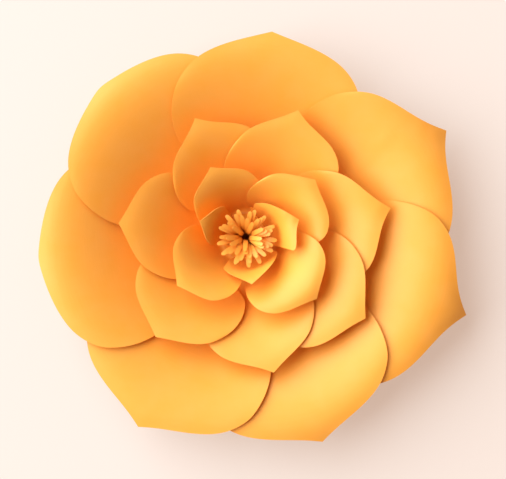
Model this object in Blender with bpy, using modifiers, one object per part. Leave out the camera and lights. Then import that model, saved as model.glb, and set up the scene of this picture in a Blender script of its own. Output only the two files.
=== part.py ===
"""Folded and cut paper flower: four rings of cupped petals and a fringed centre on a card disc."""

import math

import bmesh
import bpy
import numpy as np

MM = 0.001

# Driving dimensions, in millimetres and degrees
PAPER = 0.3
GLUE_GAP = 0.3
SIDES_OF_DISC = 60
DISC_MARGIN = 4.0
DISC_THICKNESS = 1.2

# The fringed centre, one strip rolled up, its strands curled outwards, the outer ones most
ROLL_HOLE_RADIUS = 1.6
ROLL_TURN_PITCH = 1.1
ROLL_LENGTH = 190.0
ROLL_BAND = 21.0
FRINGE_PITCH = 3.8
FRINGE_SLOT = 0.5
FRINGE_LENGTH = 26.0
FRINGE_ROWS = 5
FRINGE_UPRIGHT = 0.2
FRINGE_BEND_POWER = 1.2
FRINGE_CURL = 112.0
FRINGE_INNER_SHARE = 0.45
FRINGE_ROUND_END = 1.4
FRINGE_END_WIDTH = 0.5
FRINGE_STEPS = 24

# Cut and curled by hand: each strand's curl and heading vary a little, round a cycle of its own
UNEVEN_STEP = 137.5
UNEVEN_CURL = 0.06
UNEVEN_HEADING = 5.0

# The power of a curve says how sharply the shape turns there
POINT_POWER = 1.1
CORNER_POWER = 6.0
WAIST_POWER = 2.2
ROLL_POWER = 2.0
ROW_CROWDING = 1.25
COLUMN_CROWDING = 1.2

# The share of a petal over which it lifts clear of its glued end, and where it starts to lie flat across
LIFT_SHARE = 0.30
FLAT_FROM = 0.35
PROFILE_SAMPLES = 240

# Paper colours, linear
ORANGE = (0.95, 0.40, 0.055, 1.0)
DEEP_ORANGE = (0.93, 0.36, 0.05, 1.0)
CARD = (0.80, 0.62, 0.40, 1.0)
PAPER_ROUGHNESS = 0.7
CARD_ROUGHNESS = 0.8

# A ring of petals is one template, glued at the same radius all round.
# space and tab place it on the disc: tab is the length of the glued end, and space is left inside it.
# wall, brow and lip are (radius, height) from the petal's foot of the curve up its middle.
# base, belly and shoulder are half widths seen from the flower's axis, in degrees,
# and belly_at and shoulder_drop say where the petal is widest and how its corners round off.
# slope is how much the top edge falls for each degree from the middle.
# flat is 0 for a petal curved round the flower and 1 for one that is flat across, near its top edge.
# rise is the lift of one long side over the next petal, for each degree.
# roll is how far the top edge is rolled back, over the last roll_width of the sheet.
# reach is how far out the body of a petal comes, and point how much further its tip comes.
# petals lists (heading, longer, sharper, lean, lower, upper) of each petal, cut and curled by hand:
# longer is its share of the ring's reach, sharper its share of the ring's point, lean how unevenly
# its top edge falls, and lower and upper widen its sides. The anticlockwise side is the upper one,
# which lies on top.
HEART = {
    "space": 2.4,
    "tab": 5.0,
    "wall": (6.0, 34.0),
    "brow": (10.0, 60.0),
    "lip": (29.0, 46.0),
    "base": 36.0,
    "belly": 46.0,
    "shoulder": 46.0,
    "belly_at": 0.60,
    "shoulder_drop": 2.0,
    "slope": 0.10,
    "flat": 0.35,
    "point_width": 12.0,
    "rise": 0.02,
    "roll": 0.6,
    "roll_width": 8.0,
    "columns": 10,
    "rows": 8,
    "reach": 30.0,
    "point": 5.0,
    "petals": (
        (161.0, 1.0, 0.74, 0.0, 0.78, 0.7),
        (277.0, 0.933, 0.94, 0.0, 0.94, 1.24),
        (18.0, 1.08, 1.24, -0.9, 0.74, 1.26),
    ),
}
INNER = {
    "space": 1.0,
    "tab": 4.0,
    "wall": (5.0, 28.0),
    "brow": (31.0, 60.0),
    "lip": (50.0, 40.0),
    "base": 34.0,
    "belly": 50.0,
    "shoulder": 38.0,
    "belly_at": 0.60,
    "shoulder_drop": 5.5,
    "slope": 0.10,
    "flat": 0.0,
    "point_width": 7.0,
    "rise": 0.05,
    "roll": 0.8,
    "roll_width": 8.0,
    "columns": 10,
    "rows": 8,
    "reach": 56.0,
    "point": 5.0,
    "petals": (
        (116.8, 0.875, 1.04, 0.0, 1.0, 1.0),
        (215.3, 0.964, 0.94, 0.0, 1.0, 1.0),
        (318.9, 1.089, 0.94, 0.0, 1.0, 0.96),
        (39.6, 1.027, 1.04, -2.1, 1.0, 1.0),
    ),
}
MIDDLE = {
    "space": 3.0,
    "tab": 7.0,
    "wall": (14.0, 16.0),
    "brow": (58.0, 60.0),
    "lip": (84.0, 34.0),
    "base": 20.0,
    "belly": 42.0,
    "shoulder": 31.0,
    "belly_at": 0.50,
    "shoulder_drop": 6.0,
    "slope": 0.30,
    "flat": 0.0,
    "point_width": 5.0,
    "rise": 0.07,
    "roll": 0.9,
    "roll_width": 12.0,
    "columns": 10,
    "rows": 7,
    "reach": 90.0,
    "point": 6.0,
    "petals": (
        (67.6, 0.978, 1.23, -0.83, 1.0, 1.0),
        (113.1, 0.917, 1.23, -0.4, 1.0, 1.0),
        (173.8, 0.943, 0.7, -0.33, 1.0, 1.0),
        (227.9, 1.0, 0.62, -0.4, 1.0, 1.0),
        (281.6, 1.006, 0.97, -0.4, 1.0, 1.0),
        (325.7, 1.056, 0.97, -0.5, 1.0, 0.98),
        (11.3, 1.033, 1.65, -0.67, 1.0, 0.97),
    ),
}
OUTER = {
    "space": 3.0,
    "tab": 8.0,
    "wall": (42.0, 8.0),
    "brow": (91.0, 73.0),
    "lip": (131.0, 18.0),
    "base": 20.0,
    "belly": 42.0,
    "shoulder": 30.0,
    "belly_at": 0.45,
    "shoulder_drop": 8.0,
    "slope": 0.30,
    "flat": 0.0,
    "point_width": 4.4,
    "rise": 0.07,
    "roll": 1.0,
    "roll_width": 16.0,
    "columns": 12,
    "rows": 9,
    "reach": 147.5,
    "point": 6.0,
    "petals": (
        (82.8, 0.96, 0.5, -0.5, 1.0, 1.02),
        (134.5, 0.986, 0.17, -0.23, 1.0, 0.98),
        (186.0, 0.988, 0.08, 0.0, 1.0, 1.02),
        (240.4, 0.992, 1.12, 0.0, 1.0, 1.0),
        (290.5, 0.997, 1.03, 0.0, 1.0, 0.98),
        (340.5, 1.033, 2.12, -0.17, 1.0, 0.86),
        (28.0, 1.003, 1.95, -0.93, 1.0, 0.93),
    ),
}
RINGS = {"heart_petal": HEART, "inner_petal": INNER, "middle_petal": MIDDLE, "outer_petal": OUTER}


def clear_scene():
    for thing in list(bpy.data.objects):
        bpy.data.objects.remove(thing, do_unlink=True)


def paper_material(name, colour, roughness):
    material = bpy.data.materials.new(name)
    material.use_nodes = True
    shader = material.node_tree.nodes["Principled BSDF"]
    shader.inputs["Base Color"].default_value = colour
    shader.inputs["Roughness"].default_value = roughness
    shader.inputs["Metallic"].default_value = 0.0
    return material


def smooth_step(value):
    value = min(max(value, 0.0), 1.0)
    return value * value * (3.0 - 2.0 * value)


def roll_radius():
    """Outer radius of the rolled strip."""
    radius, _ = roll_place(ROLL_LENGTH)
    return radius + PAPER / 2


def foot_radii():
    """The radius of each ring's foot: the rings lie round the roll, one outside another."""
    radius = roll_radius()
    feet = {}
    for title, ring in RINGS.items():
        radius += ring["space"] + ring["tab"]
        feet[title] = radius
    return feet


def profile(ring, foot_radius):
    """Length, curve and unit normal of the curve up a petal's middle, from the end of its glued tab."""
    foot = np.array((foot_radius, 0.0))
    wall, brow, lip = (foot + ring[name] for name in ("wall", "brow", "lip"))
    t = np.linspace(0.0, 1.0, PROFILE_SAMPLES)[:, None]
    curve = (
        (1 - t) ** 3 * foot
        + 3 * (1 - t) ** 2 * t * wall
        + 3 * (1 - t) * t**2 * brow
        + t**3 * lip
    )
    tab_end = foot - np.array((ring["tab"], 0.0))
    curve = np.vstack([tab_end, curve])
    steps = np.diff(curve, axis=0)
    length = np.concatenate([[0.0], np.cumsum(np.hypot(steps[:, 0], steps[:, 1]))])
    along = np.gradient(curve, length, axis=0)
    along /= np.hypot(along[:, 0], along[:, 1])[:, None]
    return length, curve, np.column_stack([-along[:, 1], along[:, 0]])


def edge_radius(ring, longer, sharper, lean, angle):
    """How far out the top edge is, seen from above, at an angle from the petal's middle."""
    across = abs(angle) / ring["shoulder"]
    tip = sharper * ring["point"] * math.exp(-((abs(angle) / ring["point_width"]) ** POINT_POWER))
    corner = ring["shoulder_drop"] * across**CORNER_POWER
    fall = ring["slope"] * (abs(angle) - lean * angle)
    return longer * ring["reach"] + tip - fall - corner


def belly_share(ring, u, tab_share):
    """0 along the glued tab, rising to 1 where the petal is widest."""
    return smooth_step((u - tab_share) / (ring["belly_at"] - tab_share))


def half_width(ring, u, tab_share):
    """Half the petal's width in degrees, at a share u of the way from its glued end to its top edge."""
    width = ring["base"] + (ring["belly"] - ring["base"]) * belly_share(ring, u, tab_share)
    past = max(0.0, (u - ring["belly_at"]) / (1.0 - ring["belly_at"]))
    return width - (ring["belly"] - ring["shoulder"]) * past**WAIST_POWER


def petal_point(ring, curves, placing, row, v):
    """One point of the petal's sheet, with its heading along +X. Rows go up the petal and v across it."""
    length, curve, normal = curves
    longer, sharper, lean, lower, upper = placing
    edge = edge_radius(ring, longer, sharper, lean, v * ring["shoulder"])
    whole = np.interp(edge, curve[:, 0], length)
    tab_share = ring["tab"] / whole
    u = row_share(ring, row, tab_share)
    run = u * whole
    radius = np.interp(run, length, curve[:, 0])
    height = np.interp(run, length, curve[:, 1])
    outward = np.interp(run, length, normal[:, 0])
    upward = np.interp(run, length, normal[:, 1])
    side = upper if v > 0.0 else lower
    half = half_width(ring, u, tab_share) * (1.0 + (side - 1.0) * belly_share(ring, u, tab_share))
    angle = v * half
    free = smooth_step((run - ring["tab"]) / (LIFT_SHARE * whole))
    rolled = max(0.0, 1.0 - (whole - run) / ring["roll_width"])
    offset = free * ring["rise"] * angle - ring["roll"] * rolled**ROLL_POWER
    radius += outward * offset
    height += upward * offset
    off_middle = math.radians(angle - ring["shoulder"] * (upper - lower) / 2.0)
    flat = ring["flat"] * smooth_step((u - FLAT_FROM) / (1.0 - FLAT_FROM))
    radius *= 1.0 + flat * (1.0 / math.cos(off_middle) - 1.0)
    turn = math.radians(angle)
    foot_height = DISC_THICKNESS + GLUE_GAP + PAPER / 2
    return radius * math.cos(turn), radius * math.sin(turn), foot_height + height


def row_share(ring, row, tab_share):
    """The first row ends the glued tab. The others lie closer together towards the rolled edge."""
    if row <= 1:
        return row * tab_share
    step = (row - 1) / (ring["rows"] - 1)
    return tab_share + (1.0 - tab_share) * (1.0 - (1.0 - step) ** ROW_CROWDING)


def column_share(step):
    """Columns lie closer together towards the point."""
    return math.copysign(abs(step) ** COLUMN_CROWDING, step)


def petal(name, ring, curves, heading, placing, material, collection):
    mesh = bpy.data.meshes.new(name)
    sheet = bmesh.new()
    bmesh.ops.create_grid(sheet, x_segments=ring["columns"], y_segments=ring["rows"], size=1.0)
    for vertex in sheet.verts:
        row = round((vertex.co.y + 1.0) / 2.0 * ring["rows"])
        v = column_share(vertex.co.x)
        x, y, z = petal_point(ring, curves, placing, row, v)
        vertex.co = (x * MM, y * MM, z * MM)
    bmesh.ops.recalc_face_normals(sheet, faces=sheet.faces)
    sheet.to_mesh(mesh)
    sheet.free()
    mesh.materials.append(material)
    mesh.shade_smooth()
    thing = bpy.data.objects.new(name, mesh)
    collection.objects.link(thing)
    thing.rotation_euler.z = math.radians(heading)
    thicken(thing)
    return thing


def thicken(thing):
    """Gives an open sheet the thickness of the paper, half to each side."""
    thick = thing.modifiers.new("paper", "SOLIDIFY")
    thick.thickness = PAPER * MM
    thick.offset = 0.0


def ring_of_petals(title, foot_radius, material, collection):
    ring = RINGS[title]
    curves = profile(ring, foot_radius)
    for number, (heading, *placing) in enumerate(ring["petals"], start=1):
        petal(f"{title}_{number}", ring, curves, heading, placing, material, collection)


def roll_place(run):
    """Radius and angle of the rolled strip, at a length run from its inner end."""
    growth = ROLL_TURN_PITCH / (2.0 * math.pi)
    angle = (math.sqrt(ROLL_HOLE_RADIUS**2 + 2.0 * growth * run) - ROLL_HOLE_RADIUS) / growth
    return ROLL_HOLE_RADIUS + growth * angle, angle


def fringe_reach(curl, share):
    """How far out and up a strand has gone at a share of its length, when its end is curled so far."""
    out, up = 0.0, 0.0
    length = FRINGE_LENGTH * share / FRINGE_STEPS
    for step in range(FRINGE_STEPS):
        part = (step + 0.5) / FRINGE_STEPS * share
        bend = max(0.0, part - FRINGE_UPRIGHT) / (1.0 - FRINGE_UPRIGHT)
        tilt = math.radians(curl) * bend**FRINGE_BEND_POWER
        out += math.sin(tilt) * length
        up += math.cos(tilt) * length
    return out, up


def strand_row(row):
    """The share of its length and the share of its width that a strand has at a row, round at its end."""
    if row == FRINGE_ROWS:
        return 1.0, FRINGE_END_WIDTH
    straight = 1.0 - FRINGE_ROUND_END / FRINGE_LENGTH
    return straight * row / (FRINGE_ROWS - 1), 1.0


def strand_point(strand, side, row):
    """A point at the left (side 0) or right (side 1) of a strand."""
    half = (FRINGE_PITCH - FRINGE_SLOT) / 2.0
    middle_run = strand * FRINGE_PITCH + half
    share, width = strand_row(row)
    radius, angle = roll_place(middle_run + (2 * side - 1) * half * width)
    _, heading = roll_place(middle_run)
    uneven = math.radians(strand * UNEVEN_STEP)
    outer = FRINGE_INNER_SHARE + (1.0 - FRINGE_INNER_SHARE) * middle_run / ROLL_LENGTH
    curl = FRINGE_CURL * outer * (1.0 + UNEVEN_CURL * math.sin(uneven))
    heading += math.radians(UNEVEN_HEADING) * math.cos(uneven)
    out, up = fringe_reach(curl, share)
    x = radius * math.cos(angle) + out * math.cos(heading)
    y = radius * math.sin(angle) + out * math.sin(heading)
    return x, y, ROLL_BAND + up


def fringed_centre(material, collection):
    """One strip with a fringe cut into its upper part, rolled up, with the fringe curled outwards."""
    columns = 2 * int(ROLL_LENGTH / FRINGE_PITCH) - 1
    mesh = bpy.data.meshes.new("fringed_centre")
    strip = bmesh.new()
    bmesh.ops.create_grid(strip, x_segments=columns, y_segments=FRINGE_ROWS + 1, size=1.0)
    slots = []
    for face in strip.faces:
        middle = face.calc_center_median()
        column = int((middle.x + 1.0) / 2.0 * columns)
        row = int((middle.y + 1.0) / 2.0 * (FRINGE_ROWS + 1))
        if column % 2 == 1 and row > 0:
            slots.append(face)
    bmesh.ops.delete(strip, geom=slots, context="FACES")
    for vertex in strip.verts:
        strand, side = divmod(round((vertex.co.x + 1.0) / 2.0 * columns), 2)
        row = round((vertex.co.y + 1.0) / 2.0 * (FRINGE_ROWS + 1))
        x, y, z = strand_point(strand, side, max(0, row - 1))
        if row == 0:
            z = 0.0
        vertex.co = (x * MM, y * MM, (DISC_THICKNESS + GLUE_GAP + z) * MM)
    bmesh.ops.recalc_face_normals(strip, faces=strip.faces)
    strip.to_mesh(mesh)
    strip.free()
    mesh.materials.append(material)
    thing = bpy.data.objects.new("fringed_centre", mesh)
    collection.objects.link(thing)
    thicken(thing)
    return thing


def base_disc(radius, material, collection):
    bpy.ops.mesh.primitive_cylinder_add(
        vertices=SIDES_OF_DISC,
        radius=radius * MM,
        depth=DISC_THICKNESS * MM,
        location=(0.0, 0.0, DISC_THICKNESS * MM / 2),
    )
    disc = bpy.context.object
    disc.name = "base_disc"
    disc.data.materials.append(material)
    for other in disc.users_collection:
        other.objects.unlink(disc)
    collection.objects.link(disc)
    return disc


def main():
    clear_scene()
    collection = bpy.data.collections.new("paper_flower")
    bpy.context.scene.collection.children.link(collection)
    petal_paper = paper_material("petal_paper", ORANGE, PAPER_ROUGHNESS)
    centre_paper = paper_material("centre_paper", DEEP_ORANGE, PAPER_ROUGHNESS)
    feet = foot_radii()
    for title, foot_radius in feet.items():
        ring_of_petals(title, foot_radius, petal_paper, collection)
    fringed_centre(centre_paper, collection)
    disc_radius = feet["outer_petal"] + DISC_MARGIN
    base_card = paper_material("base_card", CARD, CARD_ROUGHNESS)
    base_disc(disc_radius, base_card, collection)


main()
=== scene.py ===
"""A large wall flower of folded and cut card, dressed and lit for a straight view of its face."""

import math

import bmesh
import bpy
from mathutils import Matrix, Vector


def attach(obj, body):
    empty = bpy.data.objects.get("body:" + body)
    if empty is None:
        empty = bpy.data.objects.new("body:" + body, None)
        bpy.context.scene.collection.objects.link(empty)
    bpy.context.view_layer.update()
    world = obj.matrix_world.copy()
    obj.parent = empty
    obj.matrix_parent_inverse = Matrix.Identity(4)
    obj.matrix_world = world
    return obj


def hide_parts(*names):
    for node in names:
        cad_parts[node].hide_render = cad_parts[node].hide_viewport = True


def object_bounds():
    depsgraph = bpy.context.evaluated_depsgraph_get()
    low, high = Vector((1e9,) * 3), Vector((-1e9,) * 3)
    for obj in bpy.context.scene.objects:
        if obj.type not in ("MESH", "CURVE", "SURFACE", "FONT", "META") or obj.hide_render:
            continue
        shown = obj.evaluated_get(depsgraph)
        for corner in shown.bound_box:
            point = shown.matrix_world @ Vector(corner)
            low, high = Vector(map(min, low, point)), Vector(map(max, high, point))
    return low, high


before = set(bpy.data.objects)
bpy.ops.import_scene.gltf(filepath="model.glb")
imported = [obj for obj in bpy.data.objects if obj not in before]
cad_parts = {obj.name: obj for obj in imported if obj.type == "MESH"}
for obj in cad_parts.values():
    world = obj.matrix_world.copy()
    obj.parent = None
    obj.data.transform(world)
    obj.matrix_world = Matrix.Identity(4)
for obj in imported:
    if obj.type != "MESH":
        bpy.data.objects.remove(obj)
cad_low, cad_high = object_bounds()

MM = 0.001

# The card's thickness
CARD = 0.3 * MM
# Corners of a solid's loose triangles that lie closer than this are one corner
MERGE = 0.02 * MM
# A face of a solid with an edge shorter than this lies on the sheet's cut rim
RIM_EDGE = 0.34 * MM
# Triangles are joined into quads at any angle and in any shape, with a pull towards an even grid
ANY_ANGLE = math.pi
EVEN_GRID = 2.0
# How many times a sheet is smoothed
PETAL_LEVELS = 3
FRINGE_LEVELS = 2
# Where a petal's outline turns by more than this at its tip, the tip stays a sharp point
TIP_TURN = math.radians(25.0)
SMOOTH_ANGLE = math.radians(40.0)

# The disc behind the petals, cut from layered board: its layers are seen round its rim
DISC_SIDES = 180
DISC_CORNER = 0.25 * MM
CORNER_STEPS = 3
BOARD_LAYER = 0.3 * MM
LAYER_SHARE = 0.5
BOARD_ROUGH = 0.75
BOARD_GRAIN = 0.04 * MM

# The noises: scale, detail and roughness. Grain and cloud are scaled for each metre
GRAIN_NOISE = (2200.0, 4.0, 0.7)
CLOUD_NOISE = (55.0, 3.0, 0.5)
MARK_NOISE = (1.0, 3.0, 0.6)

# The card's surface
CLOUD_SHARE = 0.75
CARD_ROUGH = 0.42
ROUGH_SPREAD = 0.12
CARD_SPECULAR = 0.5
CARD_GRAIN = 0.02 * MM
EDGE_GRAIN = 0.05 * MM
BUMP_STRENGTH = 0.6

# Marks left by the rod that the petals were curled over: how close they are for each metre
# outwards and for each radian round the flower, and how deep
MARKS_OUTWARD = 420.0
MARKS_ROUND = 3.0
MARK_DEPTH = 0.10 * MM

# The view: the photograph's size in pixels, metres a pixel at the petals, and the pixel of the axis
PHOTO_WIDTH = 506
PHOTO_HEIGHT = 479
PIXEL = 0.7 * MM
AXIS_PIXEL = (246.0, 237.0)
PETAL_PLANE = 35.0 * MM
CAMERA_HEIGHT = 1.3
SENSOR = 36.0

# Colours, linear
CARD_ORANGE = (0.95, 0.405, 0.030, 1.0)
CARD_YELLOW = (0.97, 0.465, 0.090, 1.0)
# The cut rims are painted paler than the card's face: a painted highlight along the petals' edges
CUT_EDGE_HIGHLIGHT = (0.97, 0.54, 0.12, 1.0)
BOARD_DEEP = (0.95, 0.36, 0.020, 1.0)
BOARD_LIGHT = (0.97, 0.45, 0.060, 1.0)
FLOOR = (0.40, 0.44, 0.47, 1.0)
FLOOR_GLOW = (0.50, 0.365, 0.30, 1.0)
BACKDROP = (0.80, 0.66, 0.57, 1.0)
LAMP_WHITE = (1.0, 0.98, 0.94)
ROOM_WARM = (0.42, 0.27, 0.18, 1.0)

# The floor's side in metres, and its finish
FLOOR_SIZE = 6.0
FLOOR_ROUGH = 0.9
FLOOR_SPECULAR = 0.0

# The soft lamp, low on the upper left: its place and size in metres, its power in watts
LAMP_PLACE = (-2.35, 1.1, 1.5)
LAMP_SIZE = 5.5
LAMP_POWER = 310.0


def only(thing):
    """Selects one object alone and makes it active."""
    bpy.ops.object.select_all(action="DESELECT")
    thing.select_set(True)
    bpy.context.view_layer.objects.active = thing


def apply_modifiers(thing):
    only(thing)
    for modifier in list(thing.modifiers):
        bpy.ops.object.modifier_apply(modifier=modifier.name)


# Shader groups


def new_group(name, inputs, outputs):
    group = bpy.data.node_groups.new(name, "ShaderNodeTree")
    for title, value in inputs:
        socket = group.interface.new_socket(title, in_out="INPUT", socket_type="NodeSocketFloat")
        socket.default_value = value
    for title in outputs:
        group.interface.new_socket(title, in_out="OUTPUT", socket_type="NodeSocketFloat")
    return group, group.nodes.new("NodeGroupInput"), group.nodes.new("NodeGroupOutput")


def maths(tree, operation, first, second=None):
    node = tree.nodes.new("ShaderNodeMath")
    node.operation = operation
    for socket, value in zip(node.inputs, (first, second)):
        if isinstance(value, bpy.types.NodeSocket):
            tree.links.new(value, socket)
        elif value is not None:
            socket.default_value = value
    return node.outputs[0]


def noise(tree, vector, scale, detail, roughness):
    node = tree.nodes.new("ShaderNodeTexNoise")
    node.inputs["Scale"].default_value = scale
    node.inputs["Detail"].default_value = detail
    node.inputs["Roughness"].default_value = roughness
    tree.links.new(vector, node.inputs["Vector"])
    return node.outputs["Fac"]


def card_fibre():
    """Fine grain of pressed fibre, and the slow cloudiness of dyed card."""
    group, _, result = new_group("card_fibre", [], ["Grain", "Cloud"])
    place = group.nodes.new("ShaderNodeTexCoord").outputs["Object"]
    group.links.new(noise(group, place, *GRAIN_NOISE), result.inputs["Grain"])
    group.links.new(noise(group, place, *CLOUD_NOISE), result.inputs["Cloud"])
    return group


def curl_marks():
    """Faint marks round the flower, left where the petals were drawn over a rod to curl them."""
    inputs = [("Outward", MARKS_OUTWARD), ("Round", MARKS_ROUND)]
    group, values, result = new_group("curl_marks", inputs, ["Mark"])
    split = group.nodes.new("ShaderNodeSeparateXYZ")
    group.links.new(group.nodes.new("ShaderNodeTexCoord").outputs["Object"], split.inputs[0])
    x, y = split.outputs["X"], split.outputs["Y"]
    squares = maths(group, "ADD", maths(group, "MULTIPLY", x, x), maths(group, "MULTIPLY", y, y))
    radius = maths(group, "SQRT", squares)
    turn = maths(group, "ARCTAN2", y, x)
    join = group.nodes.new("ShaderNodeCombineXYZ")
    group.links.new(maths(group, "MULTIPLY", radius, values.outputs["Outward"]), join.inputs["X"])
    group.links.new(maths(group, "MULTIPLY", turn, values.outputs["Round"]), join.inputs["Y"])
    group.links.new(noise(group, join.outputs[0], *MARK_NOISE), result.inputs["Mark"])
    return group


FIBRE = card_fibre()
CURL = curl_marks()


# Materials


def new_material(name):
    material = bpy.data.materials.new(name)
    material.use_nodes = True
    return material, material.node_tree, material.node_tree.nodes["Principled BSDF"]


def place_group(tree, group):
    node = tree.nodes.new("ShaderNodeGroup")
    node.node_tree = group
    return node.outputs


def blend(tree, first, second, share):
    """The two values mixed, with this share of the second."""
    kept = maths(tree, "MULTIPLY", first, 1.0 - share)
    added = maths(tree, "MULTIPLY", second, share)
    return maths(tree, "ADD", kept, added)


def mix_colours(tree, factor, first, second):
    mix = tree.nodes.new("ShaderNodeMix")
    mix.data_type = "RGBA"
    mix.inputs["A"].default_value = first
    mix.inputs["B"].default_value = second
    tree.links.new(factor, mix.inputs["Factor"])
    return mix.outputs["Result"]


def uneven_roughness(tree, shader, mask, lowest):
    rough = maths(tree, "ADD", maths(tree, "MULTIPLY", mask, ROUGH_SPREAD), lowest)
    tree.links.new(rough, shader.inputs["Roughness"])


def relief(tree, shader, height):
    """The height is in metres, so the bump's distance is 1."""
    bump = tree.nodes.new("ShaderNodeBump")
    bump.inputs["Strength"].default_value = BUMP_STRENGTH
    bump.inputs["Distance"].default_value = 1.0
    tree.links.new(height, bump.inputs["Height"])
    tree.links.new(bump.outputs["Normal"], shader.inputs["Normal"])


def card_material(name, deep, light, grain_height, mark_height=0.0):
    """Dyed card: cloudy colour, fibre grain and, on the petals, the marks of the rod."""
    material, tree, shader = new_material(name)
    fibre = place_group(tree, FIBRE)
    tone = blend(tree, fibre["Grain"], fibre["Cloud"], CLOUD_SHARE)
    tree.links.new(mix_colours(tree, tone, deep, light), shader.inputs["Base Color"])
    uneven_roughness(tree, shader, fibre["Grain"], CARD_ROUGH)
    shader.inputs["Specular IOR Level"].default_value = CARD_SPECULAR
    height = maths(tree, "MULTIPLY", fibre["Grain"], grain_height)
    if mark_height:
        curl = place_group(tree, CURL)
        height = maths(tree, "ADD", height, maths(tree, "MULTIPLY", curl["Mark"], mark_height))
    relief(tree, shader, height)
    return material


def board_material(name):
    """Thick card: fibre on its faces, and the edges of its layers round its rim."""
    material, tree, shader = new_material(name)
    fibre = place_group(tree, FIBRE)
    split = tree.nodes.new("ShaderNodeSeparateXYZ")
    tree.links.new(tree.nodes.new("ShaderNodeTexCoord").outputs["Object"], split.inputs[0])
    layers = maths(tree, "PINGPONG", split.outputs["Z"], BOARD_LAYER / 2)
    line = maths(tree, "DIVIDE", layers, BOARD_LAYER / 2)
    tone = blend(tree, fibre["Grain"], line, LAYER_SHARE)
    tree.links.new(mix_colours(tree, tone, BOARD_DEEP, BOARD_LIGHT), shader.inputs["Base Color"])
    uneven_roughness(tree, shader, fibre["Cloud"], BOARD_ROUGH)
    relief(tree, shader, maths(tree, "MULTIPLY", fibre["Grain"], BOARD_GRAIN))
    return material


PETAL_CARD = card_material("petal_card", CARD_ORANGE, CARD_YELLOW, CARD_GRAIN, MARK_DEPTH)
# The cut rims of the petals and the fringe get this paler material, a painted highlight along their
# edges
PETAL_EDGE_HIGHLIGHT = card_material("petal_cut_edge_highlight", CARD_YELLOW, CUT_EDGE_HIGHLIGHT, EDGE_GRAIN)
CENTRE_CARD = card_material("centre_card", CARD_ORANGE, CARD_YELLOW, CARD_GRAIN)
BOARD = board_material("disc_board")


# Pieces


def islands(sheet):
    """The faces of a mesh in groups that hang together."""
    left = set(sheet.faces)
    groups = []
    while left:
        group = []
        waiting = [left.pop()]
        while waiting:
            face = waiting.pop()
            group.append(face)
            for edge in face.edges:
                for other in edge.link_faces:
                    if other in left:
                        left.remove(other)
                        waiting.append(other)
        groups.append(group)
    return groups


def front_sheet(node, name):
    """The front face of a CAD sheet, as an open mesh of quads: its rim and its back are taken off."""
    thing = bpy.data.objects.new(name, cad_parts[node].data.copy())
    bpy.context.scene.collection.objects.link(thing)
    only(thing)
    bpy.ops.object.mode_set(mode="EDIT")
    bpy.ops.mesh.select_all(action="SELECT")
    bpy.ops.mesh.remove_doubles(threshold=MERGE)
    bpy.ops.object.mode_set(mode="OBJECT")
    sheet = bmesh.new()
    sheet.from_mesh(thing.data)
    rim = [face for face in sheet.faces if min(edge.calc_length() for edge in face.edges) < RIM_EDGE]
    bmesh.ops.delete(sheet, geom=rim, context="FACES")
    sides = islands(sheet)
    front = max(sides, key=lambda faces: sum(face.normal.z * face.calc_area() for face in faces))
    back = [face for side in sides if side is not front for face in side]
    bmesh.ops.delete(sheet, geom=back, context="FACES")
    sheet.to_mesh(thing.data)
    sheet.free()
    only(thing)
    bpy.ops.object.mode_set(mode="EDIT")
    bpy.ops.mesh.select_all(action="SELECT")
    bpy.ops.mesh.tris_convert_to_quads(
        face_threshold=ANY_ANGLE, shape_threshold=ANY_ANGLE, topology_influence=EVEN_GRID
    )
    bpy.ops.object.mode_set(mode="OBJECT")
    return thing


def sharpen_tip(thing):
    """Keeps the petal's point sharp when the sheet is smoothed."""
    sheet = bmesh.new()
    sheet.from_mesh(thing.data)
    crease = sheet.verts.layers.float.new("crease_vert")
    rim = [vertex for vertex in sheet.verts if vertex.is_boundary]
    tip = max(rim, key=lambda vertex: vertex.co.to_2d().length)
    arms = [edge.other_vert(tip).co - tip.co for edge in tip.link_edges if edge.is_boundary]
    if math.pi - arms[0].angle(arms[1]) > TIP_TURN:
        tip[crease] = 1.0
    sheet.to_mesh(thing.data)
    sheet.free()


def finish_sheet(thing, levels, face, edge, node):
    """Smooths the sheet, gives it the card's thickness behind its front, and stands it for its node."""
    smooth = thing.modifiers.new("smooth", "SUBSURF")
    smooth.levels = levels
    smooth.render_levels = levels
    smooth.boundary_smooth = "ALL"
    thick = thing.modifiers.new("card", "SOLIDIFY")
    thick.thickness = CARD
    thick.offset = -1.0
    # The rim faces take the second material, the paler cut edge with its painted highlight
    thick.material_offset_rim = 1
    thing.data.materials.clear()
    thing.data.materials.append(face)
    thing.data.materials.append(edge)
    apply_modifiers(thing)
    bpy.ops.object.shade_smooth_by_angle(angle=SMOOTH_ANGLE)
    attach(thing, "root")
    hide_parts(node)


def petal(node):
    thing = front_sheet(node, f"{node}_card")
    sharpen_tip(thing)
    finish_sheet(thing, PETAL_LEVELS, PETAL_CARD, PETAL_EDGE_HIGHLIGHT, node)


def fringe():
    thing = front_sheet("fringed_centre", "fringed_centre_card")
    finish_sheet(thing, FRINGE_LEVELS, CENTRE_CARD, PETAL_EDGE_HIGHLIGHT, "fringed_centre")


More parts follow.
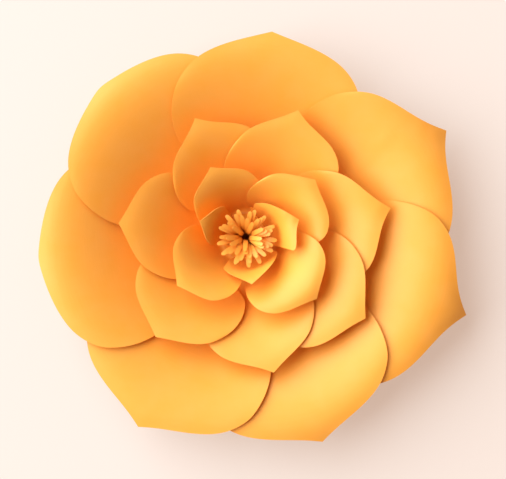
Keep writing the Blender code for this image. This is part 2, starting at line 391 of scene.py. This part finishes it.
def disc():
    """The board disc, as large and thick as the solid, its cut corners a little worn."""
    corners = [corner.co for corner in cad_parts["base_disc"].data.vertices]
    radius = max(corner.to_2d().length for corner in corners)
    bottom = min(corner.z for corner in corners)
    top = max(corner.z for corner in corners)
    bpy.ops.object.select_all(action="DESELECT")
    bpy.ops.mesh.primitive_cylinder_add(
        vertices=DISC_SIDES, radius=radius, depth=top - bottom, location=(0.0, 0.0, (top + bottom) / 2)
    )
    thing = bpy.context.object
    thing.name = "base_disc_board"
    bpy.ops.object.transform_apply(location=True, rotation=True, scale=True)
    bpy.ops.object.mode_set(mode="EDIT")
    bpy.ops.mesh.select_all(action="SELECT")
    bpy.ops.mesh.bevel(offset=DISC_CORNER, segments=CORNER_STEPS, affect="EDGES")
    bpy.ops.object.mode_set(mode="OBJECT")
    bpy.ops.object.shade_smooth_by_angle(angle=SMOOTH_ANGLE)
    thing.data.materials.clear()
    thing.data.materials.append(BOARD)
    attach(thing, "root")
    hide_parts("base_disc")


# Stage, light and camera


def seen_rays(tree):
    """1 for the rays that show the background, straight or in a gloss, and 0 for the rest."""
    ray = tree.nodes.new("ShaderNodeLightPath")
    seen = ray.outputs["Is Camera Ray"]
    for title in ("Is Glossy Ray", "Is Transmission Ray"):
        seen = maths(tree, "MAXIMUM", seen, ray.outputs[title])
    return seen


def floor():
    """A pale plane, a card's thickness below the disc. It glows only where it is the background."""
    bpy.ops.object.select_all(action="DESELECT")
    bpy.ops.mesh.primitive_plane_add(size=FLOOR_SIZE, location=(0.0, 0.0, cad_low.z - CARD))
    thing = bpy.context.object
    thing.name = "floor"
    material, tree, shader = new_material("pale_floor")
    shader.inputs["Base Color"].default_value = FLOOR
    shader.inputs["Roughness"].default_value = FLOOR_ROUGH
    shader.inputs["Specular IOR Level"].default_value = FLOOR_SPECULAR
    shader.inputs["Emission Color"].default_value = FLOOR_GLOW
    tree.links.new(seen_rays(tree), shader.inputs["Emission Strength"])
    thing.data.materials.append(material)


def soft_lamp():
    """A large disk that faces the flower, unseen by the camera."""
    data = bpy.data.lights.new("soft_lamp", "AREA")
    data.shape = "DISK"
    data.size = LAMP_SIZE
    data.energy = LAMP_POWER
    data.color = LAMP_WHITE
    lamp = bpy.data.objects.new("soft_lamp", data)
    bpy.context.scene.collection.objects.link(lamp)
    lamp.location = LAMP_PLACE
    lamp.rotation_euler = Vector(LAMP_PLACE).to_track_quat("Z", "Y").to_euler()
    lamp.visible_camera = False


def world_light():
    """A warm, dim room, with a pale backdrop where it is seen past the floor."""
    world = bpy.data.worlds.new("soft_room")
    world.use_nodes = True
    tree = world.node_tree
    room = mix_colours(tree, seen_rays(tree), ROOM_WARM, BACKDROP)
    tree.links.new(room, tree.nodes["Background"].inputs["Color"])
    bpy.context.scene.world = world


def camera():
    """Straight above the flower's face, framed as the photograph."""
    data = bpy.data.cameras.new("front_camera")
    data.sensor_width = SENSOR
    data.lens = SENSOR * (CAMERA_HEIGHT - PETAL_PLANE) / (PHOTO_WIDTH * PIXEL)
    thing = bpy.data.objects.new("front_camera", data)
    bpy.context.scene.collection.objects.link(thing)
    across = (PHOTO_WIDTH / 2 - AXIS_PIXEL[0]) * PIXEL
    up = (AXIS_PIXEL[1] - PHOTO_HEIGHT / 2) * PIXEL
    thing.location = (across, up, CAMERA_HEIGHT)
    bpy.context.scene.camera = thing


for node in sorted(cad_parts):
    if "petal" in node:
        petal(node)
fringe()
disc()
floor()
soft_lamp()
world_light()
camera()
bpy.context.scene.view_settings.view_transform = "Standard"
